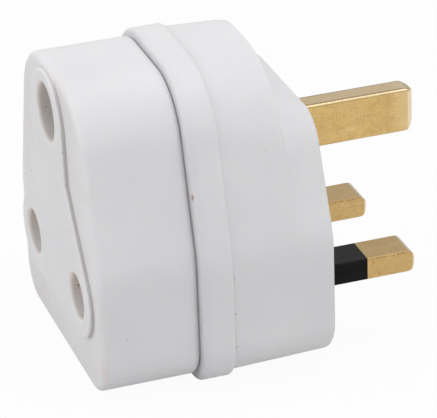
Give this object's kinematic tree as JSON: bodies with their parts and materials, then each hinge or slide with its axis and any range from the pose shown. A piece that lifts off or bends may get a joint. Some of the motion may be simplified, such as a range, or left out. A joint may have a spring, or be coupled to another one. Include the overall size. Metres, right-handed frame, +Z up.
{
  "type": "plug adapter",
  "caption": "White moulded plug adapter: round sockets with a sliding safety shutter on the front, flat brass pins, a fuse drawer and a scooped top on the back.",
  "frame": {"origin": "on the back face that meets the wall socket, midway between the two lower pins", "axes": "+X to the right seen from the sockets, +Y towards the pin tips, +Z up towards the earth pin"},
  "size_m": [0.0484, 0.0645, 0.0534],
  "materials": {
    "white_plastic": "satin moulded",
    "inner_plastic": "matt moulded",
    "black_plastic": "satin moulded",
    "pin_brass": "satin, lightly scratched",
    "contact_brass": "as drawn",
    "plated_brass": "nickel plated",
    "spring_steel": "oiled",
    "screw_steel": "zinc plated",
    "ceramic": "unglazed"
  },
  "bodies": {
    "housing": {"contact_carrier": "inner_plastic", "earth_contact": "contact_brass", "earth_contact_ring": "spring_steel", "earth_pin": "pin_brass", "earth_strap": "contact_brass", "front_cover": "white_plastic", "fuse_caps": "plated_brass", "fuse_carrier": "white_plastic", "fuse_tube": "ceramic", "line_contact": "contact_brass", "line_contact_ring": "spring_steel", "line_feed_clip": "contact_brass", "line_pin": "pin_brass", "line_pin_clip": "contact_brass", "line_pin_sleeve": "black_plastic", "line_strap": "contact_brass", "neutral_contact": "contact_brass", "neutral_contact_ring": "spring_steel", "neutral_pin": "pin_brass", "neutral_pin_sleeve": "black_plastic", "neutral_strap": "contact_brass", "rear_cover": "white_plastic", "screws": "screw_steel", "shutter_spring": "spring_steel"},
    "shutter": {"shutter": "white_plastic"}
  },
  "joints": [
    {"name": "shutter_slide", "type": "slide", "parent": "housing", "child": "shutter", "axis": [0, 0, -1], "range_m": [0, 0.00885], "stiffness_N_per_m": 60, "springref_m": -0.004, "deforming": ["shutter_spring"]}
  ]
}
